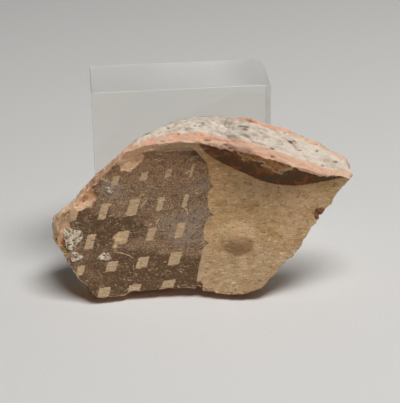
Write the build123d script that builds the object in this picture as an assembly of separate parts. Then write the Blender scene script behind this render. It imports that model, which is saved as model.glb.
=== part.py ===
"""Painted pottery sherd standing against the clear display block that props it up.

Row frame: origin at the centre of the block's underside, +Z up, the block's front face towards -Y.
The sherd is drawn in a frame of its own: x across its painted face, y into the wall, z up the face.
Each layer of the fired wall is a solid of its own, and the layers meet face to face.
"""

import math
import os

from build123d import *

# Display block, a polished offcut of clear acrylic
BLOCK_WIDTH = 52.5
BLOCK_DEPTH = 25.4
BLOCK_HEIGHT = 55.5
BLOCK_BEVEL = 0.5

# How the sherd stands: it leans back on the block's front face
LEAN_DEG = 23.0
YAW_DEG = -4.5
SHERD_SHIFT_X = 2.7
LEAN_GAP = 0.3

# Curved wall of the vessel
WALL = 12.0
BOWL_RADIUS_ACROSS = 105.0
BOWL_RADIUS_UP = 80.0
BOWL_CENTRE_X = -8.0
BOWL_CENTRE_Z = 18.0

# Lip along the top of the painted face: its height, and how the face bends forward below it
LIP_END_HEIGHT = 33.0
LIP_RISE = 11.4
LIP_RISE_CENTRE = -6.0
LIP_RISE_LENGTH = 31.0
BEND_SLOPE = 1.2
BEND_SOFTNESS = 0.8
BEND_DEPTH = 1.9
BEND_EXTRA = 4.3
BEND_CENTRE = 18.0
BEND_LENGTH = 11.0
BACK_ROUNDING = 1.1
BACK_ROUNDING_START = 12.0
BACK_ROUNDING_LENGTH = 20.0

# Layers of the wall, as shares of its depth counted from the painted face
PAINT_SHARE = 0.014
SLIP_SHARE = 0.035
PAINTED_MARGIN_SHARE = 0.40
CORE_SHARE = 0.90
CRUST_SHARE = -0.03

# Reach of the drawing planes and grids around the sherd
BLANK_FRONT = -18.0
BLANK_BACK = 13.0
GRID_X = (-50.0, 50.0)
GRID_Z = (-6.0, 56.0)
GRID_STEP = 2.0

# Broken outline, clockwise from the left tip: (x, z) on the painted face, then (x, z) on the back
BROKEN_EDGE = [
    ((-38.5, 25.5), (-43.6, 24.1)),
    ((-35.0, 28.3), (-38.6, 28.1)),
    ((-30.6, 33.4), (-33.8, 33.0)),
    ((-25.6, 39.0), (-27.7, 39.0)),
    ((-21.4, 42.6), (-23.2, 43.3)),
    ((-16.8, 43.6), (-18.4, 46.4)),
    ((-5.4, 44.6), (-5.9, 51.7)),
    ((0.3, 44.1), (0.5, 52.6)),
    ((7.4, 42.6), (7.7, 52.2)),
    ((14.4, 41.0), (15.3, 51.1)),
    ((21.6, 38.6), (23.3, 48.3)),
    ((28.4, 36.3), (30.8, 45.6)),
    ((34.5, 34.6), (37.1, 42.2)),
    ((40.5, 33.9), (42.4, 39.2)),
    ((42.4, 33.4), (43.6, 36.4)),
    ((39.9, 31.0), (38.9, 34.3)),
    ((37.1, 25.9), (35.6, 29.7)),
    ((28.3, 15.2), (26.6, 19.1)),
    ((21.1, 6.2), (19.4, 10.0)),
    ((17.3, 2.5), (16.1, 6.2)),
    ((13.2, 0.7), (12.5, 4.5)),
    ((8.6, 0.3), (8.1, 4.0)),
    ((2.3, 1.5), (1.9, 5.2)),
    ((-2.0, 3.0), (-2.2, 6.5)),
    ((-10.6, 2.5), (-10.9, 6.1)),
    ((-20.7, 1.7), (-20.6, 5.2)),
    ((-28.2, 0.3), (-27.7, 4.0)),
    ((-31.0, 0.9), (-30.0, 4.5)),
    ((-34.9, 5.9), (-34.1, 9.9)),
    ((-38.8, 11.2), (-39.2, 14.2)),
    ((-40.9, 16.7), (-43.1, 17.0)),
    ((-40.6, 21.0), (-44.0, 21.4)),
]

# Painted panel: (x, z) down the left, then along the top, then down the scalloped right side
PANEL_LEFT = [(-46.0, 14.0), (-41.5, 17.5), (-38.6, 22.6), (-35.8, 23.1), (-34.5, 26.6), (-31.1, 26.5)]
PANEL_LEFT += [(-30.7, 32.8), (-28.6, 36.2), (-23.5, 40.7), (-22.5, 39.0), (-18.5, 38.9), (-16.9, 42.0)]
PANEL_TOP = [(-16.9, 42.0), (-9.0, 43.2), (-1.7, 43.1), (2.2, 38.7), (3.2, 32.9)]
PANEL_SPIKE_1 = [(3.2, 32.9), (4.1, 31.9), (2.7, 31.1)]
PANEL_SCALLOP_1 = [(2.7, 31.1), (2.2, 27.5), (2.9, 24.7)]
PANEL_SPIKE_2 = [(2.9, 24.7), (4.1, 23.7), (2.2, 22.9)]
PANEL_SCALLOP_2 = [(2.2, 22.9), (0.9, 19.4), (0.9, 16.6)]
PANEL_SPIKE_3 = [(0.9, 16.6), (2.4, 15.6), (0.6, 14.4)]
PANEL_FOOT = [(0.6, 14.4), (-1.3, 6.2), (-1.8, -8.0), (-46.0, -8.0), (-46.0, 14.0)]

# Reserved rhombs: the height of each row where x is -20, then (x, width, height) of each rhomb in it
ROW_RISE = 0.105
RHOMB_LEAN = 0.3
RHOMB_ROWS = [
    (34.9, [(-24.6, 2.1, 3.2), (-16.0, 2.0, 2.6), (-9.0, 1.8, 2.3), (-2.1, 0.9, 3.8)]),
    (26.3, [(-36.7, 2.8, 2.8), (-27.9, 2.3, 4.7), (-19.4, 3.0, 4.9), (-11.5, 1.9, 4.0), (-4.2, 1.5, 3.8)]),
    (18.0, [(-31.9, 2.5, 4.3), (-22.8, 3.7, 3.8), (-14.4, 2.3, 3.7), (-6.0, 2.4, 4.3)]),
    (10.1, [(-34.8, 2.2, 2.8), (-25.8, 3.1, 3.0), (-17.0, 3.3, 3.3), (-7.6, 3.4, 3.7)]),
    (2.9, [(-28.2, 3.4, 3.1), (-19.4, 3.5, 2.4), (-9.6, 3.8, 2.4)]),
]

# Painted band: its lower edge, from the panel's top corner to the sherd's right tip
BAND_LOWER_EDGE = [(-0.6, 44.8), (3.7, 40.4), (11.1, 36.5), (20.2, 32.6), (28.6, 31.8), (37.8, 33.2), (46.0, 33.4)]
BAND_REACH = 60.0

# Lime crusts: (x, z), then half width and half height
LIME_CRUSTS = [
    ((-37.0, 18.0), 2.6, 3.1),
    ((-36.0, 12.5), 1.6, 1.3),
    ((-27.8, 12.3), 1.9, 1.2),
    ((-25.9, 31.6), 1.3, 1.0),
]


def lip_height(x):
    """Height of the lip above the foot of the painted face."""
    return LIP_END_HEIGHT + LIP_RISE * math.exp(-(((x - LIP_RISE_CENTRE) / LIP_RISE_LENGTH) ** 2))


def bend_depth(x):
    """How far below the lip the painted face starts to bend forward."""
    return BEND_DEPTH + BEND_EXTRA * math.exp(-(((x - BEND_CENTRE) / BEND_LENGTH) ** 2))


def bowl(x, z):
    """Curve of the vessel wall, in both directions."""
    across = (x - BOWL_CENTRE_X) ** 2 / (2 * BOWL_RADIUS_ACROSS)
    up = (z - BOWL_CENTRE_Z) ** 2 / (2 * BOWL_RADIUS_UP)
    return -across - up


def painted_face(x, z):
    """The concave painted face, bent forward in a soft overhang under the lip."""
    below_lip = lip_height(x) - z
    into_bend = (bend_depth(x) - below_lip) / BEND_SOFTNESS
    return bowl(x, z) - BEND_SLOPE * BEND_SOFTNESS * math.log1p(math.exp(into_bend))


def back_face(x, z):
    """The convex back, which turns forward behind the lip."""
    share = max(0.0, (z - lip_height(x) + BACK_ROUNDING_START) / BACK_ROUNDING_LENGTH)
    return bowl(x, z) + WALL - BACK_ROUNDING * BEND_SLOPE * bend_depth(x) * share**2


def wall_point(share, x, z):
    """Point at a share of the wall's depth, behind (x, z)."""
    depth = (1 - share) * painted_face(x, z) + share * back_face(x, z)
    return (x, depth, z)


def wall_surface(share):
    """Smooth surface through the wall at a share of its depth."""
    columns = round((GRID_X[1] - GRID_X[0]) / GRID_STEP)
    rows = round((GRID_Z[1] - GRID_Z[0]) / GRID_STEP)
    grid = []
    for i in range(columns + 1):
        x = GRID_X[0] + i * GRID_STEP
        grid.append([wall_point(share, x, GRID_Z[0] + j * GRID_STEP) for j in range(rows + 1)])
    return Face.make_surface_from_array_of_points(grid, tol=0.02)


def blank_section(depth):
    """Broken outline of the sherd where it crosses the plane y = depth."""
    corners = []
    for front, back in BROKEN_EDGE:
        start = Vector(*wall_point(0, *front))
        end = Vector(*wall_point(1, *back))
        corners.append(start + (end - start) * ((depth - start.Y) / (end.Y - start.Y)))
    return Wire.make_polygon(corners, close=True)


def blank():
    """Prism through the broken outline, longer than the wall is deep."""
    return Solid.make_loft([blank_section(BLANK_FRONT), blank_section(BLANK_BACK)], ruled=True)


def slices(solid, shares):
    """Cut a solid along the wall surfaces at the given shares, from the front backwards."""
    pieces = []
    left_over = solid
    for share in shares:
        front, left_over = sorted(left_over.split(wall_surface(share), keep=Keep.ALL), key=depth_of)
        pieces.append(front)
    return pieces


def depth_of(piece):
    """Distance of a piece's centre behind the plane y = 0."""
    return piece.center().Y


def stencil(outline):
    """Prism through the wall from a closed outline of edges drawn in x and z."""
    return extrude(make_face(Plane.XZ * outline), amount=2 * WALL, both=True)


def panel_stencil():
    """Prism over the painted panel, without the reserved rhombs."""
    outline = [Polyline(*PANEL_LEFT), Polyline(*PANEL_TOP), Polyline(*PANEL_SPIKE_1)]
    outline += [ThreePointArc(*PANEL_SCALLOP_1), Polyline(*PANEL_SPIKE_2)]
    outline += [ThreePointArc(*PANEL_SCALLOP_2), Polyline(*PANEL_SPIKE_3), Polyline(*PANEL_FOOT)]
    panel = stencil(Curve() + outline)
    for row_height, rhombs in RHOMB_ROWS:
        for x, width, height in rhombs:
            panel -= rhomb_stencil(x, row_height + ROW_RISE * (x + 20.0), width, height)
    return panel


def rhomb_stencil(x, z, width, height):
    """Prism over one reserved rhomb, whose sides lean to the right and whose ends follow the row."""
    lean = RHOMB_LEAN * height / 2
    rise = ROW_RISE * width / 2
    low_left = (x - width / 2 - lean, z - height / 2 - rise)
    low_right = (x + width / 2 - lean, z - height / 2 + rise)
    high_right = (x + width / 2 + lean, z + height / 2 + rise)
    high_left = (x - width / 2 + lean, z + height / 2 - rise)
    return stencil(Polyline(low_left, low_right, high_right, high_left, close=True))


def band_stencil():
    """Prism over the painted band, from its lower edge to far above the lip."""
    start = BAND_LOWER_EDGE[0]
    end = BAND_LOWER_EDGE[-1]
    rim = Polyline(end, (end[0], BAND_REACH), (start[0], BAND_REACH), start)
    return stencil(Curve() + [Spline(*BAND_LOWER_EDGE), rim])


def crust_stencil(centre, half_width, half_height):
    """Prism over one uneven, rounded crust."""
    points = []
    for i in range(9):
        turn = 2 * math.pi * i / 9
        reach = 1 + 0.22 * math.sin(3 * turn + centre[0])
        x = centre[0] + half_width * reach * math.cos(turn)
        z = centre[1] + half_height * reach * math.sin(turn)
        points.append((x, z))
    return stencil(Spline(*points, periodic=True))


def display_block():
    """Polished block of clear acrylic with a small bevel on every edge."""
    size = (BLOCK_WIDTH, BLOCK_DEPTH, BLOCK_HEIGHT)
    block = Pos(0, 0, BLOCK_HEIGHT / 2) * Box(*size)
    return chamfer(block.edges(), BLOCK_BEVEL)


def sherd_layers():
    """Every node of the sherd, still in the frame the sherd is drawn in."""
    shares = (CRUST_SHARE, 0, PAINT_SHARE, SLIP_SHARE, PAINTED_MARGIN_SHARE, CORE_SHARE, 1)
    _, crust_sheet, skin, under_skin, margin, core, back = slices(blank(), shares)
    panel_area = panel_stencil()
    band_area = band_stencil()
    crusts = [crust_sheet & crust_stencil(*crust) for crust in LIME_CRUSTS]
    return {
        "sherd_core": core,
        "painted_side_margin": margin,
        "back_margin": back,
        "slip_coat": under_skin + (skin - panel_area - band_area),
        "painted_panel": skin & panel_area,
        "painted_band": (skin & band_area) - panel_area,
        "lime_crust": Compound(children=[solid for crust in crusts for solid in crust.solids()]),
    }


def standing(layers):
    """Lean the layers back and set them on the ground, just in front of the block."""
    lean = Rot(0, 0, YAW_DEG) * Rot(-LEAN_DEG, 0, 0)
    leaned = {node: lean * layer for node, layer in layers.items()}
    boxes = [leaned[node].bounding_box() for node in ("painted_side_margin", "sherd_core", "back_margin")]
    back_most = max(box.max.Y for box in boxes)
    lowest = min(box.min.Z for box in boxes)
    shift = Pos(SHERD_SHIFT_X, -BLOCK_DEPTH / 2 - LEAN_GAP - back_most, -lowest)
    return {node: shift * layer for node, layer in leaned.items()}


nodes = {"display_block": display_block()}
nodes.update(standing(sherd_layers()))

os.makedirs("parts", exist_ok=True)
for node, shape in nodes.items():
    export_step(shape, "parts/" + node + ".step")
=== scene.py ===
"""Looks for the painted sherd and the clear block that it leans on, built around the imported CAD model.

Everything on the sherd is worked out in its own frame, in millimetres: x across the painted face,
y into the wall, z up the face. The CAD layers are fused into one closed mesh, which is roughened,
pitted and chipped like fired clay, and which carries the layer borders as values on its points.
"""

import math
from types import SimpleNamespace

import bmesh
import bpy
import numpy as np
from mathutils import Matrix, Vector
from mathutils.bvhtree import BVHTree
from mathutils.kdtree import KDTree


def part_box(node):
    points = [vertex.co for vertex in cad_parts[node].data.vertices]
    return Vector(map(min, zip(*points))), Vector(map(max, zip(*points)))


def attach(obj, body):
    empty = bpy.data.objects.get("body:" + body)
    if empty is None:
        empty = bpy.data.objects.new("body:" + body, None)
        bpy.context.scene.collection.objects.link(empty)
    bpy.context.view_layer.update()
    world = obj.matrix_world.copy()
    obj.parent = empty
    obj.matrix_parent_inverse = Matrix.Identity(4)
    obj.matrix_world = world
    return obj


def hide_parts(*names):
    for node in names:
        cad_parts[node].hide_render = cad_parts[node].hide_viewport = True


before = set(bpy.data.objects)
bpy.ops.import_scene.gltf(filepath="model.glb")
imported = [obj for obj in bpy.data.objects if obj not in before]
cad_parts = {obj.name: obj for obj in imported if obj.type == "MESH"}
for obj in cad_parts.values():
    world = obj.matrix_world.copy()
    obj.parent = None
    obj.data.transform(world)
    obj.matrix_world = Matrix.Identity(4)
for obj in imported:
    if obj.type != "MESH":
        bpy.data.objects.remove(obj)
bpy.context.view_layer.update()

MM = 0.001

# Where the sherd's own frame stands in the row frame, as in part.py
LEAN = math.radians(23.0)
YAW = math.radians(-4.5)
SHERD_ORIGIN = (2.7, -37.394, 0.046)
SHERD_TURN = Matrix.Rotation(YAW, 3, "Z") @ Matrix.Rotation(-LEAN, 3, "X")
TURN = np.array(SHERD_TURN)
SHIFT = np.array(SHERD_ORIGIN)

# The curved wall of the vessel, as in part.py: its bowl, the lip along its top, and the bend below the lip
WALL = 12.0
BOWL_RADIUS_ACROSS = 105.0
BOWL_RADIUS_UP = 80.0
BOWL_CENTRE = (-8.0, 18.0)
LIP_END_HEIGHT = 33.0
LIP_RISE = 11.4
LIP_RISE_CENTRE = -6.0
LIP_RISE_LENGTH = 31.0
BEND_SLOPE = 1.2
BEND_SOFTNESS = 0.8
BEND_DEPTH = 1.9
BEND_EXTRA = 4.3
BEND_CENTRE = 18.0
BEND_LENGTH = 11.0
BACK_ROUNDING = 1.1
BACK_ROUNDING_START = 12.0
BACK_ROUNDING_LENGTH = 20.0

# The clay layers are fused into one mesh, and so are the crusts, out of voxels this wide
CLAY_NODES = (
    "sherd_core",
    "painted_side_margin",
    "back_margin",
    "slip_coat",
    "painted_panel",
    "painted_band",
)
CLAY_VOXEL = 0.355
CRUST_VOXEL = 0.14

# Display block: how far its edges are rounded, how uneven its faces are, how finely it is meshed, and how
# far its top lies above its middle
BLOCK_ROUND = 0.35
BLOCK_WAVE = 0.012
BLOCK_FLAT_POINTS = 19
BLOCK_ROUND_POINTS = 4
BLOCK_TOP = 27.75

# Floor, in metres: how far it reaches each way, and the gap that keeps it off the part's underside
FLOOR_REACH = 2.5
FLOOR_GAP = 0.0001

# Camera: how far in front of the sherd it stands and the height it aims at, its small roll, and its lens
CAMERA_DISTANCE = 450.0
CAMERA_AIM = 27.7
CAMERA_ROLL = math.radians(1.2)
CAMERA_LENS = 138.61
CAMERA_SENSOR = 36.0


# ---------------------------------------------------------------- places and noise


def to_row(points):
    """Points of the sherd's frame, in millimetres, as points of the row frame, in metres."""
    return (np.asarray(points, float) @ TURN.T + SHIFT) * MM


def to_sherd(points):
    """Points of the row frame, in metres, as points of the sherd's frame, in millimetres."""
    return (np.asarray(points, float) / MM - SHIFT) @ TURN


def step(low, high, value):
    """0 at low, 1 at high, and a smooth change between them."""
    t = np.clip((value - low) / (high - low), 0, 1)
    return t * t * (3 - 2 * t)


def lattice(cells, seed):
    """A repeatable random number from -1 to 1 for each whole-numbered cell, mixed by large odd numbers."""
    cells = cells.astype(np.int64).astype(np.uint32)
    mixed = cells[:, 0] * np.uint32(374761393) + cells[:, 1] * np.uint32(668265263)
    mixed = mixed + cells[:, 2] * np.uint32(2246822519) + np.uint32(seed * 3266489917 % 2**32)
    mixed = (mixed ^ (mixed >> np.uint32(13))) * np.uint32(1274126177)
    mixed = (mixed ^ (mixed >> np.uint32(16))) * np.uint32(2654435769)
    mixed = mixed ^ (mixed >> np.uint32(15))
    return mixed.astype(float) / 2**31 - 1


def noise(points, size, seed):
    """Smooth noise from -1 to 1. size is the width of one lump in millimetres, for all axes or for each."""
    scaled = points / size
    low = np.floor(scaled)
    t = scaled - low
    t = t * t * (3 - 2 * t)
    total = np.zeros(len(points))
    for corner in range(8):
        offset = np.array([corner & 1, corner >> 1 & 1, corner >> 2 & 1])
        weight = np.prod(np.where(offset == 1, t, 1 - t), axis=1)
        total += weight * lattice(low + offset, seed)
    return total


def rough(points, size, octaves, seed, gain=0.5):
    """Several sizes of noise added together, from coarse to fine."""
    total = np.zeros(len(points))
    height = 1.0
    for octave in range(octaves):
        total += height * noise(points, np.asarray(size) / 2**octave, seed + octave)
        height *= gain
    return total


# ---------------------------------------------------------------- the wall of the vessel


def lip_height(x):
    """Height of the lip along the top of the painted face."""
    return LIP_END_HEIGHT + LIP_RISE * np.exp(-(((x - LIP_RISE_CENTRE) / LIP_RISE_LENGTH) ** 2))


def bend_depth(x):
    """How far below the lip the face starts to bend forward."""
    return BEND_DEPTH + BEND_EXTRA * np.exp(-(((x - BEND_CENTRE) / BEND_LENGTH) ** 2))


def wall_share(p):
    """How deep in the wall each point lies: 0 on the painted face and 1 on the back."""
    x, y, z = p.T
    bowl = -((x - BOWL_CENTRE[0]) ** 2) / (2 * BOWL_RADIUS_ACROSS)
    bowl -= (z - BOWL_CENTRE[1]) ** 2 / (2 * BOWL_RADIUS_UP)
    bend = (bend_depth(x) - (lip_height(x) - z)) / BEND_SOFTNESS
    front = bowl - BEND_SLOPE * BEND_SOFTNESS * np.logaddexp(0, bend)
    behind_lip = np.maximum(0, (z - lip_height(x) + BACK_ROUNDING_START) / BACK_ROUNDING_LENGTH)
    back = bowl + WALL - BACK_ROUNDING * BEND_SLOPE * bend_depth(x) * behind_lip**2
    return (y - front) / (back - front)


# ---------------------------------------------------------------- meshes


def new_object(name, data):
    """An object in the scene that holds a mesh, a light or a camera."""
    obj = bpy.data.objects.new(name, data)
    bpy.context.scene.collection.objects.link(obj)
    return obj


def voxel_mesh(name, nodes, size):
    """One closed mesh around several CAD nodes, made of voxels of the given size in millimetres."""
    shell = bmesh.new()
    for node in nodes:
        shell.from_mesh(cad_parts[node].data)
    mesh = bpy.data.meshes.new(name)
    shell.to_mesh(mesh)
    shell.free()
    source = new_object(name + "_source", mesh)
    remesh = source.modifiers.new("voxels", "REMESH")
    remesh.mode = "VOXEL"
    remesh.voxel_size = size * MM
    depsgraph = bpy.context.evaluated_depsgraph_get()
    fused = bpy.data.meshes.new_from_object(source.evaluated_get(depsgraph))
    fused.name = name
    fused.materials.clear()
    bpy.data.objects.remove(source)
    return fused


def points_of(mesh):
    """The places of the mesh's points, one row for each."""
    co = np.zeros(len(mesh.vertices) * 3)
    mesh.vertices.foreach_get("co", co)
    return co.reshape(-1, 3)


def normals_of(mesh):
    """The outward directions at the mesh's points, one row for each."""
    normals = np.zeros(len(mesh.vertices) * 3, np.float32)
    mesh.vertex_normals.foreach_get("vector", normals)
    return normals.reshape(-1, 3).astype(float)


def set_points(mesh, points):
    """Move the mesh's points to new places in metres."""
    mesh.vertices.foreach_set("co", points.astype(np.float32).ravel())
    mesh.update()


def smooth_faces(mesh):
    """Shade the mesh as one smooth surface."""
    mesh.polygons.foreach_set("use_smooth", [True] * len(mesh.polygons))


def store(mesh, name, values):
    """Keep one value, or one vector, for each point of the mesh."""
    values = np.asarray(values, np.float32)
    if values.ndim == 2:
        mesh.attributes.new(name, "FLOAT_VECTOR", "POINT").data.foreach_set("vector", values.ravel())
    else:
        mesh.attributes.new(name, "FLOAT", "POINT").data.foreach_set("value", values)


# How near a point lies to the paint it belongs to, and how far from a border distances still count
ON_PAINT = 0.1
BORDER_REACH = 20
# A cut side runs along y, so its normal has almost no share along y
LEVEL = 0.05


def nearest(tree, points):
    """Distance in millimetres from each point to the nearest part of a tree."""
    return np.array([tree.find_nearest(Vector(p))[3] for p in points])


def border_of(node):
    """Two trees in the sherd's frame: the whole node, and only its thin cut sides."""
    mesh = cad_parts[node].data
    mesh.calc_loop_triangles()
    corners = to_sherd(points_of(mesh))
    triangles = np.array([t.vertices[:] for t in mesh.loop_triangles])
    a, b, c = corners[triangles[:, 0]], corners[triangles[:, 1]], corners[triangles[:, 2]]
    across = np.cross(b - a, c - a)
    length = np.linalg.norm(across, axis=1) + 1e-12
    cut = (np.abs(across[:, 1]) / length < LEVEL) & (length > 1e-6)
    places = [Vector(p) for p in corners]
    whole = BVHTree.FromPolygons(places, triangles.tolist())
    sides = BVHTree.FromPolygons(places, triangles[cut].tolist())
    return whole, sides


def inside_border(node, points):
    """Signed distance in millimetres to a painted border: above 0 on the paint, below 0 off it."""
    whole, sides = border_of(node)
    on_paint = nearest(whole, points) < ON_PAINT
    return np.where(on_paint, 1, -1) * np.minimum(nearest(sides, points), BORDER_REACH)


# ---------------------------------------------------------------- shaping the sherd


def pits(points, centres, radii, depths):
    """Depth in millimetres of round pits around the given centres."""
    tree = KDTree(len(points))
    for i, p in enumerate(points):
        tree.insert(Vector(p), i)
    tree.balance()
    total = np.zeros(len(points))
    for centre, radius, depth in zip(centres, radii, depths):
        for _, i, distance in tree.find_range(Vector(centre), radius):
            total[i] = max(total[i], depth * (1 - (distance / radius) ** 2))
    return total


def distance_to(points, others):
    """Distance in millimetres from each point to the nearest of some other points."""
    tree = KDTree(len(others))
    for i, p in enumerate(others):
        tree.insert(Vector(p), i)
    tree.balance()
    return np.array([tree.find(Vector(p))[2] for p in points])


def patch(points, centre, half_width, half_height, seed):
    """1 in the middle of an uneven patch of the painted face, and 0 outside it."""
    x = (points[:, 0] - centre[0]) / half_width
    z = (points[:, 2] - centre[1]) / half_height
    reach = np.hypot(x, z) + 0.28 * rough(points, 2.4, 3, seed)
    return 1 - step(0.75, 1.05, reach)


def mound(x, z, middle, width, height):
    """A smooth patch on the painted face, 1 at its middle."""
    return np.exp(-(((x - middle[0]) / width) ** 2) - ((z - middle[1]) / height) ** 2)


# Places where the face has flaked off: centre, half a width, half a height, depth at the centre, and how
# much deeper it gets for each millimetre to the right and up
SPALLS = [
    ((-20.9, 41.4), 4.5, 4.4, 1.0, (-0.05, 0.24)),
    ((-15.6, 44.4), 4.4, 2.2, 0.8, (0.0, 0.30)),
    ((-34.2, 30.4), 5.2, 4.8, 0.9, (-0.12, 0.16)),
    ((-39.6, 21.0), 2.6, 5.2, 2.2, (-0.85, 0.05)),
]
# Smaller chips out of the edge: centre, half a width and half a height
EDGE_CHIPS = [
    ((34.4, 23.3), 2.6, 2.0),
    ((29.6, 15.6), 1.2, 1.2),
    ((26.4, 12.2), 1.0, 0.9),
    ((-0.7, 3.4), 0.9, 1.3),
    ((-39.6, 13.8), 1.9, 2.3),
]
# Small pale crumbs stuck to the panel: centre, half a width and half a height
CRUMBS = [((-23.9, 17.5), 1.5, 1.5), ((-24.9, 15.2), 0.8, 0.7), ((-26.2, 27.2), 0.6, 0.4)]
CRUMB_RISE = 0.45
# The low round lump on the slip: its middle, half a width, its reach above and below, and its height
BOSS = (10.3, 16.8)
BOSS_WIDTH = 5.8
BOSS_ABOVE = 5.4
BOSS_BELOW = 4.7
BOSS_RISE = 1.45
# Stretches of the lip whose painted edge has crumbled away: middle, half a length and how far in, along x
WORN_LIP = [(9.5, 5.5, 1.3), (31.5, 4.2, 0.95), (21.0, 4.0, 0.5), (-11.5, 4.5, 0.8)]
# Small shifts of the outline: where, how wide, and how far to the right and up
NUDGES = [
    ((27.5, 13.5), 5.5, (0.85, -0.75)),
    ((-27.5, 37.0), 6.0, (0.45, -0.45)),
    ((-22.6, 41.8), 4.0, (0.50, -0.55)),
    ((41.5, 29.5), 3.5, (0.45, -0.40)),
]
# Greyer patches of the panel's paint, and darker, warmer ones: how much, middle, half a width and height
GREY_PATCHES = [
    (1.0, (-6.0, 18.2), 7.0, 5.4),
    (0.6, (0.0, 21.0), 4.5, 8.0),
    (1.1, (-25.0, 32.0), 4.5, 3.5),
    (0.8, (-22.5, 26.0), 3.4, 2.6),
    (0.6, (-12.5, 22.6), 5.5, 2.6),
    (0.7, (1.2, 33.0), 2.6, 2.8),
    (0.5, (-11.5, 40.5), 4.5, 2.2),
    (0.5, (-4.0, 31.0), 3.5, 3.0),
]
DARK_PATCHES = [
    (1.0, (-20.4, 21.9), 8.0, 4.0),
    (0.7, (-32.0, 19.0), 7.0, 5.0),
    (0.8, (-35.5, 27.5), 4.0, 4.0),
    (0.7, (1.0, 42.0), 4.5, 4.0),
]
# Depths in millimetres: hollows and the ledge in the break, chips, the worn rim and the flaked band
HOLLOW_DEPTH = 0.50
LEDGE_DEPTH = 0.28
CHIP_DEPTH = 0.75
WEAR_DEPTH = 0.22
FLAKE_DEPTH = 0.32
# How far the rims wander sideways
DRIFT = 0.22
# Small voids: how many on the break and on the smooth faces, the smallest radius, and how much more it can be
BREAK_VOIDS = 420
FACE_VOIDS = 240
VOID_RADIUS = 0.17
BREAK_VOID_EXTRA = 0.42
FACE_VOID_EXTRA = 0.14


def nudged(p):
    """How far each point moves to follow the small shifts of the outline."""
    moved = np.zeros_like(p)
    for middle, width, (right, up) in NUDGES:
        share = mound(p[:, 0], p[:, 2], middle, width, width)
        moved += share[:, None] * (right, 0, up)
    return moved


def spalled(p):
    """How fully each point lies in a place where the face has flaked off, and the depth of the scar there."""
    most = np.zeros(len(p))
    cut = np.zeros(len(p))
    crumbly = 0.34 * rough(p, (1.9, 1.9, 1.3), 3, 37)
    for i, (centre, half_width, half_height, depth, (right, up)) in enumerate(SPALLS):
        share = patch(p, centre, half_width, half_height, 40 + i)
        slope = right * (p[:, 0] - centre[0]) + up * (p[:, 2] - centre[1])
        cut = np.maximum(cut, share * np.maximum(depth + slope + crumbly, 0.15))
        most = np.maximum(most, share)
    return most, cut


def break_relief(flat, in_core):
    """Relief of the broken clay: ledges and lumps, grit in the core, and thin flakes along the wall."""
    coarse = 2.6 * rough(flat, (6.0, 2.8, 6.0), 2, 11)
    ledges = np.floor(coarse) + step(0.55, 0.95, coarse - np.floor(coarse))
    lumps = 0.22 * ledges + 0.30 * rough(flat, (2.9, 1.7, 2.9), 2, 12)
    grit = 0.20 * rough(flat, (1.2, 0.8, 1.2), 2, 15) * (0.4 + 0.6 * in_core)
    flakes = 0.14 * rough(flat, (3.6, 0.75, 3.6), 2, 18)
    crumbs = 0.11 * noise(flat, (0.85, 0.7, 0.85), 19) * in_core
    return lumps + grit + flakes + crumbs


def face_relief(p, panel):
    """Relief of the painted face: wiped while wet, so its grain runs across, with a slightly raised panel."""
    wiped = 0.050 * rough(p, (3.2, 2.0, 0.7), 2, 21) + 0.10 * noise(p, (11.0, 11.0, 7.0), 23)
    scooped = 0.05 * np.maximum(0, rough(p, (1.6, 1.0, 0.9), 2, 24) - 0.35)
    paint = 0.035 * step(-0.1, 0.15, panel) * (0.6 + rough(p, 0.9, 2, 26))
    return wiped - scooped + paint


def boss_relief(p):
    """A low round lump on the slip, steeper underneath. Also how strongly its underside is darkened as
    painted shade, above 0, and its upper rim lightened as a painted highlight, below 0.
    """
    across = (p[:, 0] - BOSS[0]) / BOSS_WIDTH
    up = p[:, 2] - BOSS[1]
    up = up / np.where(up > 0, BOSS_ABOVE, BOSS_BELOW)
    reach = np.hypot(across, up) + 0.06 * rough(p, 3.2, 2, 35)
    low = np.hypot((p[:, 0] - BOSS[0] - 0.1) / 4.5, (p[:, 2] - BOSS[1] + 1.4) / 3.5)
    # Painted shade: above 0 on the lump's underside, where the slip colour is darkened
    shaded = step(2.6, -4.6, p[:, 2] - BOSS[1] - 0.35 * (p[:, 0] - BOSS[0]))
    boss_shade_and_light = step(1.15, 0.85, low + 0.12 * rough(p, 2.0, 3, 36)) * shaded
    # Painted highlight: below 0 along the lump's upper rim, where the slip colour is lightened
    boss_shade_and_light -= 0.5 * np.exp(-(((reach - 0.85) / 0.20) ** 2)) * step(-1.0, 2.5, p[:, 2] - BOSS[1])
    return BOSS_RISE * (1 - step(0.0, 1.0, reach)), boss_shade_and_light


def panel_tone(p):
    """Where the panel's paint is greyer, above 0, and where it is darker and warmer, below 0."""
    x, _, z = p.T
    grey = sum(much * mound(x, z, *place) for much, *place in GREY_PATCHES)
    dark = sum(much * mound(x, z, *place) for much, *place in DARK_PATCHES)
    dark += step(16.5, 10.0, z) * (0.45 + 0.55 * step(-29.0, -20.0, x))
    return grey - 0.95 * dark + 0.26 * rough(p, (7.0, 7.0, 4.0), 3, 61)


def voids(flat, on_break):
    """Depth of the small long voids left by burnt-out straw and grit."""
    rng = np.random.default_rng(7)
    squeezed = flat * (0.42, 1.1, 1.0)
    on_rough = rng.choice(np.flatnonzero(on_break > 0.5), BREAK_VOIDS, replace=False)
    on_smooth = rng.choice(np.flatnonzero(on_break <= 0.5), FACE_VOIDS, replace=False)
    chosen = np.concatenate([on_rough, on_smooth])
    most = np.concatenate([np.full(BREAK_VOIDS, BREAK_VOID_EXTRA), np.full(FACE_VOIDS, FACE_VOID_EXTRA)])
    radii = VOID_RADIUS + most * rng.uniform(0, 1, len(chosen)) ** 3
    return pits(squeezed, squeezed[chosen], radii, radii * rng.uniform(0.5, 1.1, len(chosen)))


def from_rim(p, on_face, off_face):
    """Signed distance in millimetres to the rim of one face: above 0 on the face, below 0 off it."""
    return np.where(on_face, distance_to(p, p[off_face]), -distance_to(p, p[on_face]))


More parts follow.
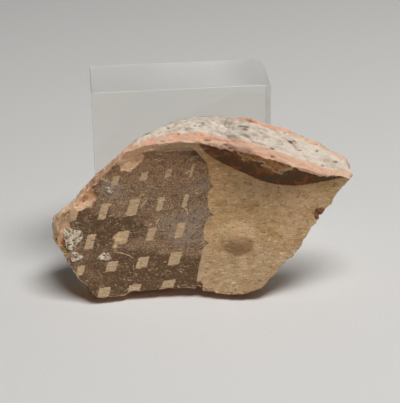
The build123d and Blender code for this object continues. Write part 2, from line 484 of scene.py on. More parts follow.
def hollows(p, flat, share, in_core, on_break):
    """How fully each point of the break lies in a hollow, and in the ledge between margin and core."""
    deep = step(0.42, 0.85, rough(flat - (9.5, 0, 0), (3.0, 1.0, 2.0), 3, 51))
    hollow = deep * (0.2 + 0.8 * in_core) * on_break
    ledge = np.exp(-(((share - 0.405) / 0.018) ** 2)) * step(0.0, 0.5, noise(p, 5.0, 55)) * on_break
    return hollow, ledge


def worn_rim(p, share, rim):
    """How fully small flakes are lost along the edge of the face, and how far in the lip has crumbled."""
    on_lip = step(30.0, 34.0, p[:, 2])
    crumbled = np.max([depth * np.exp(-(((p[:, 0] - x) / half) ** 4)) for x, half, depth in WORN_LIP], axis=0)
    crumbled = crumbled * on_lip * (1 + 0.5 * rough(p, (1.8, 1.8, 1.4), 3, 47))
    wear = 0.45 + 0.55 * rough(p, 2.2, 3, 41) + crumbled
    lost = step(0.0, 0.35, wear - np.abs(rim)) * (1 - step(0.05, 0.10, share))
    return lost, crumbled


def flaked_band(p, rim, band):
    """Above 0 where the band has come away in bigger flakes under the overhanging lip."""
    ragged = 3.3 + 1.9 * rough(p, (3.6, 3.0, 2.4), 3, 57)
    along_lip = step(8.0, 13.0, p[:, 0]) * step(31.0, 22.0, p[:, 0]) * step(-0.5, 0.5, band)
    return (ragged - rim) * along_lip - 3.0 * (1 - along_lip)


def drifted(p, rim, back_rim):
    """How far each point moves so that no stretch of either rim is straight."""
    near_rim = np.exp(-((rim / 1.6) ** 2)) + np.exp(-((back_rim / 2.0) ** 2))
    drift = np.stack([rough(p, 1.9, 3, 43 + 3 * i, 0.65) for i in range(3)], axis=1)
    return DRIFT * drift * np.minimum(near_rim, 1)[:, None]


def places_on_wall(p):
    """Where each point lies: on the face, the back or the break, and how far from the two rims."""
    share = wall_share(p)
    on_face = 1 - step(0.004, 0.030, share)
    on_back = step(0.985, 1.0, share)
    return SimpleNamespace(
        share=share,
        flat=np.stack([p[:, 0], WALL * share, p[:, 2]], axis=1),
        on_face=on_face,
        on_back=on_back,
        on_break=1 - on_face - on_back,
        in_core=step(0.36, 0.42, share + 0.02 * rough(p, 3.0, 2, 5)) * (1 - step(0.88, 0.92, share)),
        rim=from_rim(p, share < 0.02, share > 0.03),
        back_rim=from_rim(p, share > 0.985, share < 0.97),
    )


def marks_on_wall(p, at):
    """What each point bears: paint, scars, chips, crumbs, the lump, hollows and voids."""
    spall, cut = spalled(p)
    hollow, ledge = hollows(p, at.flat, at.share, at.in_core, at.on_break)
    boss, boss_shade_and_light = boss_relief(p)
    lost, crumbled = worn_rim(p, at.share, at.rim)
    band = inside_border("painted_band", p)
    off_back = step(0.45, 0.20, at.share)
    return SimpleNamespace(
        panel=inside_border("painted_panel", p),
        band=band,
        spall=spall,
        cut=cut,
        chip=np.max([patch(p, *chip, 60 + i) for i, chip in enumerate(EDGE_CHIPS)], axis=0) * off_back,
        crumb=np.max([patch(p, *crumb, 90 + i) for i, crumb in enumerate(CRUMBS)], axis=0),
        hollow=hollow,
        ledge=ledge,
        boss=boss,
        boss_shade_and_light=boss_shade_and_light,
        lost=lost,
        crumbled=crumbled,
        flaked=flaked_band(p, at.rim, band),
        pit=voids(at.flat, at.on_break),
    )


def clay_relief(p, at, mark):
    """Relief of the whole sherd in millimetres, outwards from the CAD surface."""
    out = at.on_break * break_relief(at.flat, at.in_core)
    out = out - HOLLOW_DEPTH * mark.hollow - LEDGE_DEPTH * mark.ledge
    out += at.on_face * face_relief(p, mark.panel)
    out += at.on_back * (0.22 * noise(p, (16.0, 8.0, 5.0), 31) + 0.07 * rough(p, (3.0, 2.0, 1.1), 3, 33))
    out += at.on_face * mark.crumb * CRUMB_RISE * (0.7 + 0.6 * rough(p, 0.8, 2, 95))
    out += at.on_face * mark.boss
    out -= mark.chip * (CHIP_DEPTH + 0.3 * rough(p, 0.9, 2, 39))
    out -= WEAR_DEPTH * mark.lost
    out -= FLAKE_DEPTH * step(-0.1, 0.2, mark.flaked) * at.on_face
    return out - mark.pit


def make_clay():
    """The whole sherd as one closed, weathered mesh."""
    mesh = voxel_mesh("sherd", CLAY_NODES, CLAY_VOXEL)
    p = to_sherd(points_of(mesh))
    outwards = normals_of(mesh) @ TURN
    at = places_on_wall(p)
    mark = marks_on_wall(p, at)
    p_new = p + outwards * clay_relief(p, at, mark)[:, None] + drifted(p, at.rim, at.back_rim)
    p_new[:, 1] += np.maximum(mark.cut - WALL * at.share, 0)
    p_new += nudged(p)
    set_points(mesh, to_row(p_new))
    smooth_faces(mesh)
    for name, values in {
        "place": p,
        "flat": at.flat,
        "share": at.share,
        "rim": at.rim,
        "panel": mark.panel,
        "band": mark.band,
        "spall": mark.spall,
        "chip": mark.chip,
        "crumb": mark.crumb,
        # pit and hollow are also darkened in the material, as painted shade
        "pit": np.minimum(mark.pit / 0.30, 1),
        "hollow": np.minimum(mark.hollow + 0.6 * mark.ledge, 1),
        "flaked": mark.flaked,
        "crumbled": mark.crumbled,
        "tone": panel_tone(p),
        "boss_shade_and_light": mark.boss_shade_and_light,
        "crust": -nearest(border_of("lime_crust")[0], p),
        "break": at.on_break,
    }.items():
        store(mesh, name, values)
    return new_object("sherd", mesh)


# ---------------------------------------------------------------- material nodes


def srgb(red, green, blue):
    """A colour as the eye reads it, 0 to 255, in the linear values that shaders use."""
    shares = (red / 255, green / 255, blue / 255)
    linear = [c / 12.92 if c <= 0.04045 else ((c + 0.055) / 1.055) ** 2.4 for c in shares]
    return (*linear, 1.0)


class Nodes:
    """Short names for building one material."""

    def __init__(self, name):
        self.material = bpy.data.materials.new(name)
        self.material.use_nodes = True
        self.tree = self.material.node_tree
        self.shader = self.tree.nodes["Principled BSDF"]
        self.shader.location = (900, 0)

    def add(self, kind, **settings):
        """A new node of one kind, with its settings."""
        node = self.tree.nodes.new(kind)
        for key, value in settings.items():
            setattr(node, key, value)
        return node

    def put(self, socket, value):
        """Link a socket, or set a plain value."""
        if isinstance(value, bpy.types.NodeSocket):
            self.tree.links.new(value, socket)
        else:
            socket.default_value = value

    def value(self, name):
        """A value kept on the mesh's points."""
        return self.add("ShaderNodeAttribute", attribute_name=name).outputs["Fac"]

    def vector(self, name):
        """A vector kept on the mesh's points."""
        return self.add("ShaderNodeAttribute", attribute_name=name).outputs["Vector"]

    def math(self, operation, a, b=0.0):
        """One sum on one or two values."""
        node = self.add("ShaderNodeMath", operation=operation)
        self.put(node.inputs[0], a)
        self.put(node.inputs[1], b)
        return node.outputs[0]

    def times(self, *values):
        """Several values multiplied together."""
        total = values[0]
        for value in values[1:]:
            total = self.math("MULTIPLY", total, value)
        return total

    def plus(self, *values):
        """Several values added together."""
        total = values[0]
        for value in values[1:]:
            total = self.math("ADD", total, value)
        return total

    def step(self, value, low, high):
        """0 below low, 1 above high. With low above high it falls instead."""
        node = self.add("ShaderNodeMapRange", interpolation_type="SMOOTHSTEP")
        self.put(node.inputs["Value"], value)
        rising = low < high
        node.inputs["From Min"].default_value = low if rising else high
        node.inputs["From Max"].default_value = high if rising else low
        node.inputs["To Min"].default_value = 0.0 if rising else 1.0
        node.inputs["To Max"].default_value = 1.0 if rising else 0.0
        return node.outputs["Result"]

    def stretch(self, place, x=1.0, y=1.0, z=1.0, turn=0.0):
        """A place scaled along each axis and turned about y, to make noise longer one way."""
        node = self.add("ShaderNodeMapping")
        self.put(node.inputs["Vector"], place)
        node.inputs["Scale"].default_value = (x, y, z)
        node.inputs["Rotation"].default_value = (0, turn, 0)
        return node.outputs["Vector"]

    def noise(self, place, scale, detail=3.0, roughness=0.55, distortion=0.0):
        """Cloudy noise, about 0.5 on average. scale is lumps for each millimetre."""
        node = self.add("ShaderNodeTexNoise")
        self.put(node.inputs["Vector"], place)
        node.inputs["Scale"].default_value = scale
        node.inputs["Detail"].default_value = detail
        node.inputs["Roughness"].default_value = roughness
        node.inputs["Distortion"].default_value = distortion
        return node.outputs["Fac"]

    def mix(self, share, below, above):
        """The colour below where share is 0, and the colour above where it is 1."""
        node = self.add("ShaderNodeMix", data_type="RGBA")
        self.put(node.inputs[0], share)
        self.put(node.inputs[6], below)
        self.put(node.inputs[7], above)
        return node.outputs[2]

    def part(self, vector, axis):
        """One coordinate of a vector: X, Y or Z."""
        node = self.add("ShaderNodeSeparateXYZ")
        self.put(node.inputs[0], vector)
        return node.outputs[axis]

    def scratches(self, place, turn, density):
        """Fine, broken, slightly curved lines that run mostly one way."""
        field = self.noise(self.stretch(place, 0.25, 1.0, 1.6, turn), density, 2.0, 0.5, 0.8)
        line = self.step(self.math("ABSOLUTE", self.math("SUBTRACT", field, 0.5)), 0.010, 0.003)
        gaps = self.step(self.noise(place, 0.7 + density, 2.0, 0.5), 0.50, 0.60)
        return self.times(line, gaps)

    def mark(self, place, middle, turn, length):
        """One fine curved line on the painted face."""
        moved = self.add("ShaderNodeVectorMath", operation="SUBTRACT")
        self.put(moved.inputs[0], place)
        moved.inputs[1].default_value = (middle[0], 0.0, middle[1])
        turned = self.stretch(moved.outputs[0], turn=math.radians(turn))
        along = self.part(turned, "X")
        bend = self.math("SUBTRACT", self.noise(place, 0.5, 3.0, 0.6), 0.5)
        across = self.plus(self.part(turned, "Z"), self.times(bend, 1.2), self.times(along, along, 0.03))
        line = self.step(self.math("ABSOLUTE", across), 0.16, 0.05)
        ends = self.step(self.math("ABSOLUTE", along), length / 2, length / 2 - 0.8)
        return self.times(line, ends)

    def bump(self, height, distance, strength=1.0):
        """Fine relief. distance is the height of the relief in millimetres."""
        node = self.add("ShaderNodeBump")
        self.put(node.inputs["Height"], height)
        node.inputs["Distance"].default_value = distance * MM
        node.inputs["Strength"].default_value = strength
        self.put(self.shader.inputs["Normal"], node.outputs["Normal"])


# ---------------------------------------------------------------- the sherd's colours

SLIP_PINK = srgb(219, 178, 136)
SLIP_OLIVE = srgb(208, 168, 118)
SLIP_DARK = srgb(178, 134, 86)
SLIP_PALE = srgb(236, 206, 160)
SLIP_LEFT = srgb(199, 171, 138)
SLIP_LOW = srgb(190, 160, 124)
SLIP_WARM = srgb(194, 138, 78)
SLIP_FLECK = srgb(244, 222, 184)
# Brown of the slip's stains and dashes, also used as painted shade under the lump
STAIN_AND_SHADE = srgb(133, 93, 56)
PANEL = srgb(139, 108, 81)
PANEL_TOP = srgb(156, 116, 83)
PANEL_GREY = srgb(151, 130, 112)
PANEL_WARM = srgb(93, 66, 39)
PANEL_DARK = srgb(92, 65, 46)
PANEL_PALE = srgb(189, 161, 130)
BAND = srgb(108, 69, 39)
BAND_BLACK = srgb(90, 72, 50)
BAND_RUST = srgb(152, 96, 57)
FLAKED = srgb(186, 134, 84)
FLAKED_EDGE = srgb(214, 182, 138)
MARGIN = srgb(248, 190, 158)
MARGIN_PALE = srgb(236, 204, 178)
# Cream of the margin, also used as a painted highlight along the break next to the face's rim
MARGIN_CREAM = srgb(246, 218, 186)
MARGIN_DARK = srgb(207, 140, 105)
CORE = srgb(244, 228, 210)
CORE_PALE = srgb(250, 244, 236)
CORE_DARK = srgb(224, 205, 184)
BACK = srgb(176, 140, 108)
BACK_DARK = srgb(140, 107, 80)
SPALL = srgb(247, 190, 144)
SPALL_PALE = srgb(252, 224, 192)
# Painted shade for the small pits in the flaked scars
SPALL_PIT_SHADE = srgb(158, 110, 72)
SPALL_EARTHY = srgb(184, 128, 88)
# The left tip's clay, painted paler than its own pink and orange as painted light, since the tip faces away
# from the lamp
TIP_LIT_ORANGE = srgb(255, 212, 166)
TIP_LIT_PALE = srgb(255, 236, 212)
CHIP_ORANGE = srgb(204, 142, 98)
CHIP_YELLOW = srgb(216, 184, 124)
CHIP_DARK = srgb(124, 90, 60)
# Painted shade for the small voids, the hollows and the ledge in the break, and the pits of the lime
VOID_SHADE = srgb(84, 64, 46)
LIME = srgb(226, 210, 186)
LIME_DARK = srgb(160, 138, 112)


def slip_colour(m, place):
    """Buff slip: it drifts between pink and olive, and is streaked by wiping and flecked with small marks.
    The lump on it gets a painted highlight on its upper rim and painted shade on its underside.
    """
    x = m.part(place, "X")
    z = m.part(place, "Z")
    streaks = m.noise(m.stretch(place, 0.30, 1.0, 1.6, 0.05), 1.5, 5.0, 0.75, 1.0)
    grain = m.noise(m.stretch(place, 0.55, 1.0, 1.2), 2.0, 4.0, 0.75)
    drift = m.noise(m.stretch(place, 0.7, 1.0, 1.2), 0.34, 4.0, 0.6)
    dapple = m.noise(m.stretch(place, 0.6, 1.0, 1.4, 0.1), 0.60, 3.0, 0.6, 0.6)
    patchy = m.step(m.noise(place, 0.45, 3.0, 0.6), 0.42, 0.58)
    colour = m.mix(m.step(m.noise(place, 0.10, 3.0, 0.55), 0.42, 0.60), SLIP_PINK, SLIP_OLIVE)
    colour = m.mix(m.times(m.step(z, 20.0, 9.0), 0.85), colour, SLIP_LOW)
    colour = m.mix(m.times(m.step(z, 26.0, 36.0), m.step(x, 14.0, 6.0), 0.45), colour, SLIP_WARM)
    colour = m.mix(m.times(m.step(drift, 0.50, 0.64), 0.5), colour, SLIP_DARK)
    colour = m.mix(m.times(m.step(dapple, 0.52, 0.64), 0.5), colour, SLIP_PALE)
    colour = m.mix(m.times(m.step(dapple, 0.46, 0.34), 0.5), colour, SLIP_DARK)
    colour = m.mix(m.times(m.step(streaks, 0.52, 0.62), patchy, 0.7), colour, SLIP_PALE)
    colour = m.mix(m.times(m.step(streaks, 0.47, 0.37), 0.45), colour, SLIP_DARK)
    colour = m.mix(m.times(m.step(x, 3.0, -3.0), 0.7), colour, SLIP_LEFT)
    colour = m.mix(m.times(m.step(grain, 0.42, 0.35), patchy, 0.75), colour, STAIN_AND_SHADE)
    marks = m.noise(m.stretch(place, 0.45, 1.0, 1.2, -0.1), 1.8, 3.0, 0.6)
    colour = m.mix(m.times(m.step(marks, 0.62, 0.67), 0.85), colour, STAIN_AND_SHADE)
    colour = m.mix(m.times(m.step(marks, 0.38, 0.33), 0.8), colour, SLIP_FLECK)
    # Painted highlight along the upper rim of the lump
    lit = m.times(m.value("boss_shade_and_light"), -1.2)
    colour = m.mix(m.times(m.step(lit, 0.05, 0.6), m.step(grain, 0.40, 0.56), 0.7), colour, SLIP_PALE)
    # Painted shade on the underside of the lump
    return m.mix(m.times(m.step(m.value("boss_shade_and_light"), 0.0, 1.0), m.step(grain, 0.22, 0.50), 0.66), colour, STAIN_AND_SHADE)


# Longer scratches in the panel's paint: middle on the face, turn in degrees from level, and length
MARKS = [
    ((-21.8, 12.8), -24.0, 5.4),
    ((-17.4, 29.4), 38.0, 4.2),
    ((-16.2, 27.6), 52.0, 3.6),
    ((-4.2, 25.4), -58.0, 3.8),
    ((-8.6, 42.4), 12.0, 3.4),
    ((-12.0, 39.8), -8.0, 3.0),
    ((-3.4, 36.2), 20.0, 2.6),
    ((-28.0, 35.0), -30.0, 3.2),
    ((-12.4, 22.2), 64.0, 2.6),
    ((-6.4, 12.0), 18.0, 3.0),
    ((-25.6, 24.2), 8.0, 2.4),
]


def panel_colour(m, place, scratches):
    """Paint of the panel: brown, grey in some patches and warm in others, worn and full of fine specks."""
    worn = m.noise(place, 0.42, 5.0, 0.7)
    grain = m.noise(place, 1.9, 5.0, 0.85)
    dust = m.noise(place, 3.0, 2.0, 0.5)
    tone = m.value("tone")
    colour = m.mix(m.step(m.part(place, "Z"), 30.0, 38.0), PANEL, PANEL_TOP)
    colour = m.mix(m.step(tone, -0.12, -0.62), colour, PANEL_WARM)
    colour = m.mix(m.step(tone, 0.35, 0.95), colour, PANEL_GREY)
    speckled = m.plus(m.times(m.step(tone, -0.7, 0.1), 0.65), 0.35)
    colour = m.mix(m.times(m.step(worn, 0.51, 0.62), 0.6), colour, PANEL_DARK)
    colour = m.mix(m.times(m.step(worn, 0.45, 0.34), 0.45), colour, PANEL_PALE)
    colour = m.mix(m.times(m.step(grain, 0.48, 0.39), 0.75), colour, PANEL_DARK)
    colour = m.mix(m.times(m.step(grain, 0.53, 0.61), speckled, 0.85), colour, PANEL_PALE)
    colour = m.mix(m.times(m.step(dust, 0.60, 0.66), speckled, 0.95), colour, PANEL_PALE)
    colour = m.mix(m.times(scratches, 0.75), colour, SLIP_PALE)
    for middle, turn, length in MARKS:
        colour = m.mix(m.times(m.mark(place, middle, turn, length), 0.8), colour, SLIP_PALE)
    return colour


def band_colour(m, place):
    """Band under the lip: brown, burnt black in places, rusty where it is thin, and flaked along the lip."""
    blotch = m.noise(place, 0.26, 4.0, 0.6)
    medium = m.noise(place, 0.7, 4.0, 0.65)
    fine = m.noise(place, 1.6, 5.0, 0.75)
    flaked = m.plus(m.value("flaked"), m.times(m.math("SUBTRACT", fine, 0.5), 1.2))
    colour = m.mix(m.step(blotch, 0.50, 0.57), BAND, BAND_BLACK)
    colour = m.mix(m.times(m.step(blotch, 0.46, 0.40), 0.8), colour, BAND_RUST)
    colour = m.mix(m.times(m.step(medium, 0.55, 0.66), 0.5), colour, STAIN_AND_SHADE)
    bare = m.mix(m.step(medium, 0.46, 0.56), FLAKED, BAND_RUST)
    bare = m.mix(m.times(m.step(fine, 0.52, 0.60), 0.5), bare, BAND)
    colour = m.mix(m.step(flaked, -0.08, 0.04), colour, bare)
    lip = m.times(m.step(flaked, -0.50, -0.05), m.step(flaked, 0.60, 0.10))
    return m.mix(m.times(lip, m.step(medium, 0.38, 0.52), 0.85), colour, FLAKED_EDGE)


def spall_colour(m, place):
    """Raw clay where the face has flaked off: orange and cream, with dark flecks as painted shade for small
    pits.
    """
    fine = m.noise(place, 1.5, 5.0, 0.75)
    broad = m.noise(place, 0.42, 4.0, 0.6)
    colour = m.mix(m.step(fine, 0.46, 0.62), SPALL, SPALL_PALE)
    colour = m.mix(m.times(m.step(broad, 0.52, 0.60), 0.4), colour, MARGIN_PALE)
    x = m.part(place, "X")
    earthy = m.times(m.step(x, -26.0, -29.0), m.step(x, -38.0, -35.0), m.step(m.part(place, "Z"), 27.5, 30.0))
    colour = m.mix(m.times(earthy, 0.8), colour, SPALL_EARTHY)
    # Painted shade: dark flecks for small pits
    return m.mix(m.times(m.step(m.noise(place, 1.7, 3.0, 0.65), 0.58, 0.68), 0.65), colour, SPALL_PIT_SHADE)


def break_colour(m, place, flat, share):
    """Broken wall: pink margins on either side of a pale grey core, with painted shade in its hollows and a
    painted highlight in cream along its front rim. At the left tip it is pink and orange, painted much paler
    there as painted light, since that face turns away from the lamp.
    """
    wavy = m.plus(share, m.times(m.math("SUBTRACT", m.noise(flat, 0.35, 4.0, 0.6), 0.5), 0.14))
    medium = m.noise(flat, 0.5, 4.0, 0.6)
    grain = m.noise(m.stretch(flat, 0.6, 1.3, 0.8), 1.5, 5.0, 0.75)
    x = m.part(place, "X")
    margin = m.mix(m.step(medium, 0.46, 0.66), MARGIN, MARGIN_PALE)
    margin = m.mix(m.times(m.step(x, 18.0, 30.0), 0.5), margin, MARGIN_CREAM)
    margin = m.mix(m.times(m.step(grain, 0.56, 0.68), 0.55), margin, MARGIN_DARK)
    margin = m.mix(m.times(m.step(grain, 0.44, 0.36), 0.6), margin, MARGIN_PALE)
    core = m.mix(m.step(m.noise(flat, 0.28, 5.0, 0.65), 0.50, 0.62), CORE, CORE_DARK)
    core = m.mix(m.times(m.step(grain, 0.46, 0.36), 0.9), core, CORE_PALE)
    core = m.mix(m.times(m.step(grain, 0.54, 0.66), 0.8), core, CORE_DARK)
    wavy = m.math("SUBTRACT", wavy, m.times(m.step(x, -1.0, -15.0), 0.10))
    wavy = m.math("SUBTRACT", wavy, m.times(m.step(x, 14.0, -4.0), 0.14))
    from_left = m.step(m.plus(x, m.times(medium, 7.0)), -19.0, -12.0)
    back_clay = m.step(m.plus(x, m.times(medium, 16.0)), 15.0, 22.0)
    behind = m.math("MAXIMUM", m.step(wavy, 0.92, 0.87), m.math("SUBTRACT", 1.0, back_clay))
    colour = m.mix(m.times(m.step(wavy, 0.34, 0.41), behind, from_left), margin, core)
    raw = m.times(m.math("SUBTRACT", 1.0, from_left), m.step(medium, 0.44, 0.54))
    colour = m.mix(m.times(raw, 0.8), colour, spall_colour(m, place))
    # Painted light: the left tip is painted much paler, standing in for light that its face, turned away from
    # the lamp, does not get
    tip = m.mix(m.step(grain, 0.36, 0.50), TIP_LIT_PALE, TIP_LIT_ORANGE)
    colour = m.mix(m.times(m.step(x, -30.0, -37.0), 0.75), colour, tip)
    # Painted highlight: cream along the break next to the face's rim
    edge = m.times(m.step(m.value("rim"), -1.5, -0.3), m.step(medium, 0.42, 0.54))
    colour = m.mix(m.times(edge, 0.75), colour, MARGIN_CREAM)
    # Painted shade: the hollows and the ledge are darkened in colour
    return m.mix(m.times(m.value("hollow"), 0.22), colour, VOID_SHADE)


def back_colour(m, place):
    """Plain pink buff back, smoothed and stained."""
    clouds = m.noise(m.stretch(place, 0.5, 1.0, 1.2), 0.30, 5.0, 0.65)
    wiped = m.noise(m.stretch(place, 0.3, 1.0, 1.8, 0.1), 0.8, 4.0, 0.6)
    colour = m.mix(m.step(clouds, 0.36, 0.66), BACK, BACK_DARK)
    colour = m.mix(m.times(m.step(wiped, 0.50, 0.66), 0.4), colour, BACK_DARK)
    return m.mix(m.times(m.step(m.noise(place, 3.0, 2.0, 0.5), 0.62, 0.70), 0.5), colour, MARGIN_PALE)


def face_colour(m, place, in_panel, in_band, fine, mottle, scratches):
    """The painted face: slip, panel and band, with the crumbs and the dust of the crusts on them."""
    face = m.mix(in_panel, slip_colour(m, place), panel_colour(m, place, scratches))
    face = m.mix(in_band, face, band_colour(m, place))
    crumb = m.mix(m.step(mottle, 0.42, 0.56), SLIP_DARK, SLIP_PALE)
    face = m.mix(m.times(m.value("crumb"), 0.85), face, crumb)
    near_crust = m.plus(m.value("crust"), m.times(m.math("SUBTRACT", mottle, 0.5), 7.0))
    dusty = m.times(m.step(near_crust, -1.2, 0.5), m.step(fine, 0.42, 0.58))
    return m.mix(m.times(dusty, 0.8), face, LIME_DARK)


def worn_colour(m, place, share, fine, mottle, raw, colour):
    """The sherd's colour with the worn rim, the crumbled lip, the chips, and painted shade in the voids laid
    over it.
    """
    frayed = m.plus(m.value("rim"), m.times(m.math("SUBTRACT", mottle, 0.5), 3.0))
    off_break = m.step(share, 0.4, 0.2)
    here_and_there = m.step(m.noise(place, 0.28, 3.0, 0.6), 0.50, 0.56)
    worn = m.times(m.step(frayed, 0.55, 0.15), off_break, here_and_there)
    raised = m.step(m.part(place, "Z"), 3.0, 7.0)
    colour = m.mix(m.times(worn, raised, 0.9), colour, raw)
    crumbled = m.math("SUBTRACT", m.value("crumbled"), m.value("rim"))
    crumbled = m.step(m.plus(crumbled, m.times(m.math("SUBTRACT", mottle, 0.5), 1.2)), -0.05, 0.10)
    lip_edge = m.mix(m.step(fine, 0.42, 0.60), MARGIN, MARGIN_PALE)
    colour = m.mix(m.times(crumbled, m.step(m.value("crumbled"), 0.1, 0.3), off_break), colour, lip_edge)
    chipped = m.mix(m.step(fine, 0.40, 0.58), CHIP_ORANGE, CHIP_DARK)
    chipped = m.mix(m.times(m.step(m.part(place, "X"), -30.0, -36.0), 0.8), chipped, CHIP_YELLOW)
    colour = m.mix(m.value("chip"), colour, chipped)
    # Painted shade in the small voids
    return m.mix(m.times(m.step(m.value("pit"), 0.15, 0.9), 0.75), colour, VOID_SHADE)


def clay_material():
    """Fired clay, slip and paint, laid over each other by the values kept on the mesh."""
    m = Nodes("sherd_clay")
    place = m.vector("place")
    flat = m.vector("flat")
    share = m.value("share")
    broken = m.value("break")
    fine = m.noise(place, 2.2, 5.0, 0.65)
    mottle = m.noise(place, 1.2, 5.0, 0.75)
    scratches = m.math("MAXIMUM", m.scratches(place, 0.7, 0.35), m.scratches(place, -1.1, 0.5))
    wander = m.times(m.math("SUBTRACT", m.noise(place, 1.3, 4.0, 0.65), 0.5), 0.55)
    in_panel = m.step(m.plus(m.value("panel"), wander), -0.09, 0.09)
    in_band = m.step(m.plus(m.value("band"), wander), -0.12, 0.12)

    face = face_colour(m, place, in_panel, in_band, fine, mottle, scratches)
    raw = spall_colour(m, place)
    whole = m.mix(m.step(share, 0.982, 0.995), face, back_colour(m, place))
    colour = m.mix(broken, whole, break_colour(m, place, flat, share))
    colour = m.mix(m.times(m.step(m.value("spall"), 0.25, 0.75), m.step(share, 0.24, 0.10)), colour, raw)
    m.put(m.shader.inputs["Base Color"], worn_colour(m, place, share, fine, mottle, raw, colour))

    painted = m.math("MAXIMUM", in_panel, in_band)
    m.put(m.shader.inputs["Roughness"], m.plus(m.times(painted, -0.16), m.times(fine, 0.12), 0.82))
    m.shader.inputs["Specular IOR Level"].default_value = 0.3
    grainy = m.times(broken, m.noise(flat, 1.6, 5.0, 0.75), 1.6)
    streaks = m.noise(m.stretch(place, 0.38, 1.0, 2.0, 0.05), 1.5, 4.0, 0.72, 0.4)
    relief = m.plus(m.times(fine, 0.8), m.times(mottle, 0.8), m.times(streaks, 0.9))
    m.bump(m.plus(relief, m.times(scratches, -0.25), grainy), 0.24)
    return m.material


# ---------------------------------------------------------------- lime crusts


def make_crusts():
    """Pale crusts stuck to the panel, rough and crumbly."""
    mesh = voxel_mesh("lime_crusts", ("lime_crust",), CRUST_VOXEL)
    p = to_sherd(points_of(mesh))
    n = normals_of(mesh) @ TURN
    thick = -wall_share(p) * WALL
    crumbs = rough(p, (0.46, 0.7, 0.42), 2, 75) + 0.42
    out = (0.07 * rough(p, 0.4, 2, 71) + 0.08 * np.clip(crumbs, 0, 1)) * step(-0.05, 0.3, thick)
    p_new = p + n * out[:, None]
    p_new[:, 1] += 0.04 + 0.45 * step(0.06, -0.10, crumbs)
    set_points(mesh, to_row(p_new))
    smooth_faces(mesh)
    store(mesh, "place", p)
    return new_object("lime_crusts", mesh)


def lime_material():
    """Chalky lime: pale lumps with darker ground between them, flecked with painted shade for small pits."""
    m = Nodes("lime_crust")
    place = m.vector("place")
    clouds = m.noise(place, 0.9, 5.0, 0.7)
    grains = m.noise(place, 3.2, 4.0, 0.65)
    colour = m.mix(m.step(clouds, 0.40, 0.58), LIME_DARK, LIME)
    # Painted shade: small dark flecks stand in for pits
    colour = m.mix(m.times(m.step(grains, 0.56, 0.68), 0.45), colour, VOID_SHADE)
    m.put(m.shader.inputs["Base Color"], colour)
    m.put(m.shader.inputs["Roughness"], m.plus(m.times(grains, 0.15), 0.82))
    m.bump(grains, 0.15, 0.9)
    return m.material


# ---------------------------------------------------------------- display block


def edge_spacing(half):
    """Places of mesh points across the block in millimetres: close at the rounded edges, wide between."""
    inner = half - BLOCK_ROUND
    middle = np.linspace(-inner, inner, BLOCK_FLAT_POINTS)
    turn = np.linspace(0, math.pi / 4, BLOCK_ROUND_POINTS)[1:]
    end = inner + BLOCK_ROUND * np.tan(turn)
    return np.concatenate([-end[::-1], middle, end])


def box_shell(name, half):
    """A closed box around the origin, each side a grid of faces. half is half its size along each axis."""
    spacing = [edge_spacing(h) for h in half]
    shell = bmesh.new()
    made = {}

    def corner(place):
        """The mesh point at one place, made once and shared by the faces that meet there."""
        key = tuple(round(float(c), 4) for c in place)
        if key not in made:
            made[key] = shell.verts.new(place)
        return made[key]

    for axis in range(3):
        a, b = [i for i in range(3) if i != axis]
        cells = [(i, j) for i in range(len(spacing[a]) - 1) for j in range(len(spacing[b]) - 1)]
        for side in (-1, 1):
            for i, j in cells:
                ring = []
                for di, dj in ((0, 0), (1, 0), (1, 1), (0, 1)):
                    place = np.zeros(3)
                    place[axis] = side * half[axis]
                    place[a] = spacing[a][i + di]
                    place[b] = spacing[b][j + dj]
                    ring.append(corner(place))
                shell.faces.new(ring)
    bmesh.ops.recalc_face_normals(shell, faces=shell.faces)
    mesh = bpy.data.meshes.new(name)
    shell.to_mesh(mesh)
    shell.free()
    return mesh


def make_block():
    """The clear block: rounded edges, and polished faces that are not quite flat."""
    low, high = (np.array(corner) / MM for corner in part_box("display_block"))
    half = (high - low) / 2
    centre = (high + low) / 2
    mesh = box_shell("display_block_polished", half)
    p = points_of(mesh)
    inner = half - BLOCK_ROUND
    core = np.clip(p, -inner, inner)
    away = p - core
    reach = np.linalg.norm(away, axis=1, keepdims=True)
    rounded = core + away / np.maximum(reach, 1e-9) * BLOCK_ROUND
    wave = BLOCK_WAVE * noise(rounded, 14.0, 81)
    rounded -= away / np.maximum(reach, 1e-9) * np.abs(wave)[:, None]
    set_points(mesh, (rounded + centre) * MM)
    smooth_faces(mesh)
    to_side = step(BLOCK_ROUND, 0.0, np.min((half - np.abs(p))[:, (0, 2)], axis=1))
    store(mesh, "place", rounded)
    store(mesh, "sawn", to_side)
    return new_object("display_block_polished", mesh)


def acrylic_material():
    """Clear acrylic: polished front and back, satin sawn sides, a faintly milky top, and rubbing marks."""
    m = Nodes("clear_acrylic")
    place = m.vector("place")
    sawn = m.value("sawn")
    rubbed = m.noise(m.stretch(place, 0.06, 0.06, 1.0, 0.4), 1.2, 4.0, 0.6)
    saw_marks = m.noise(m.stretch(place, 0.15, 2.0, 0.15), 1.5, 3.0, 0.6)
    m.shader.inputs["Base Color"].default_value = srgb(248, 247, 243)
    m.shader.inputs["IOR"].default_value = 1.49
    top = m.step(m.part(place, "Z"), BLOCK_TOP - 0.45, BLOCK_TOP - 0.05)
    m.put(m.shader.inputs["Transmission Weight"], m.math("SUBTRACT", 1.0, m.times(top, 0.09)))
    satin = m.times(sawn, m.plus(m.times(saw_marks, 0.10), 0.22))
    m.put(m.shader.inputs["Roughness"], m.plus(m.times(m.step(rubbed, 0.45, 0.75), 0.05), satin, 0.03))
    m.bump(m.plus(m.noise(place, 0.12, 2.0, 0.5), m.times(saw_marks, sawn, 0.2)), 0.02, 0.3)
    return m.material


# ---------------------------------------------------------------- floor, light and camera


FLOOR = srgb(221, 219, 216)
FLOOR_PALE = srgb(227, 225, 222)
ROOM = (1.0, 0.99, 0.98, 1.0)
ROOM_STRENGTH = 0.5


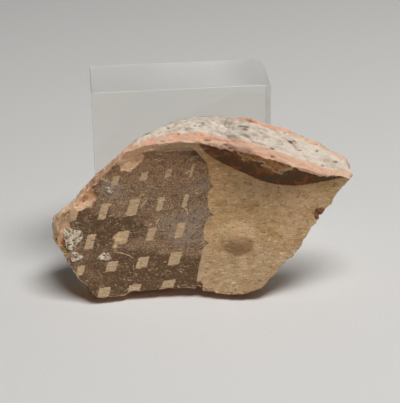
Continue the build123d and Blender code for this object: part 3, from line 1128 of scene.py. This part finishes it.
def make_floor():
    """A wide pale sweep of paper."""
    mesh = bpy.data.meshes.new("floor")
    corners = [(-1, -1), (1, -1), (1, 1), (-1, 1)]
    places = [(x * FLOOR_REACH, y * FLOOR_REACH, -FLOOR_GAP) for x, y in corners]
    mesh.from_pydata(places, [], [(0, 1, 2, 3)])
    floor = new_object("floor", mesh)
    m = Nodes("floor_paper")
    place = m.add("ShaderNodeTexCoord").outputs["Object"]
    m.put(m.shader.inputs["Base Color"], m.mix(m.noise(place, 900.0, 2.0, 0.5), FLOOR, FLOOR_PALE))
    m.shader.inputs["Roughness"].default_value = 0.85
    m.shader.inputs["Specular IOR Level"].default_value = 0.0
    mesh.materials.append(m.material)


def make_light(name, place, target, size, power):
    """A white rectangular light: place, target and size in metres, and power in watts."""
    data = bpy.data.lights.new(name, "AREA")
    data.shape = "RECTANGLE"
    data.size, data.size_y = size
    data.energy = power
    light = new_object(name, data)
    light.location = place
    light.rotation_mode = "QUATERNION"
    light.rotation_quaternion = (Vector(place) - Vector(target)).to_track_quat("Z", "Y")
    return light


def make_studio():
    """Soft light from above and a little in front, a card behind the block, and a pale room around."""
    make_light("overhead", (0.22, -0.28, 0.91), (0.0, 0.0, 0.0), (0.68, 0.34), 8.9)
    card = make_light("back_card", (0.0, 0.80, 0.36), (0.0, 0.0, 0.03), (1.2, 0.5), 1.1)
    card.visible_diffuse = False
    world = bpy.data.worlds.new("room")
    bpy.context.scene.world = world
    world.use_nodes = True
    world.node_tree.nodes["Background"].inputs["Color"].default_value = ROOM
    world.node_tree.nodes["Background"].inputs["Strength"].default_value = ROOM_STRENGTH
    world.cycles_visibility.diffuse = False
    bpy.context.scene.view_settings.view_transform = "Standard"


def make_camera():
    """A camera that looks square on to the sherd's painted face."""
    data = bpy.data.cameras.new("camera")
    data.lens = CAMERA_LENS
    data.sensor_width = CAMERA_SENSOR
    data.clip_start = 0.01
    camera = new_object("camera", data)
    view = SHERD_TURN @ Vector((0, 1, 0))
    up = SHERD_TURN @ Vector((math.sin(CAMERA_ROLL), 0, math.cos(CAMERA_ROLL)))
    right = view.cross(up)
    turn = Matrix((right, up, -view)).transposed().to_4x4()
    camera.matrix_world = Matrix.Translation(to_row((0, -CAMERA_DISTANCE, CAMERA_AIM))) @ turn
    bpy.context.scene.camera = camera


# ---------------------------------------------------------------- putting it together

sherd = make_clay()
sherd.data.materials.append(clay_material())
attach(sherd, "sherd")
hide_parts(*CLAY_NODES)

crusts = make_crusts()
crusts.data.materials.append(lime_material())
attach(crusts, "sherd")
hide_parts("lime_crust")

block = make_block()
block.data.materials.append(acrylic_material())
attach(block, "block")
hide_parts("display_block")

make_floor()
make_studio()
make_camera()
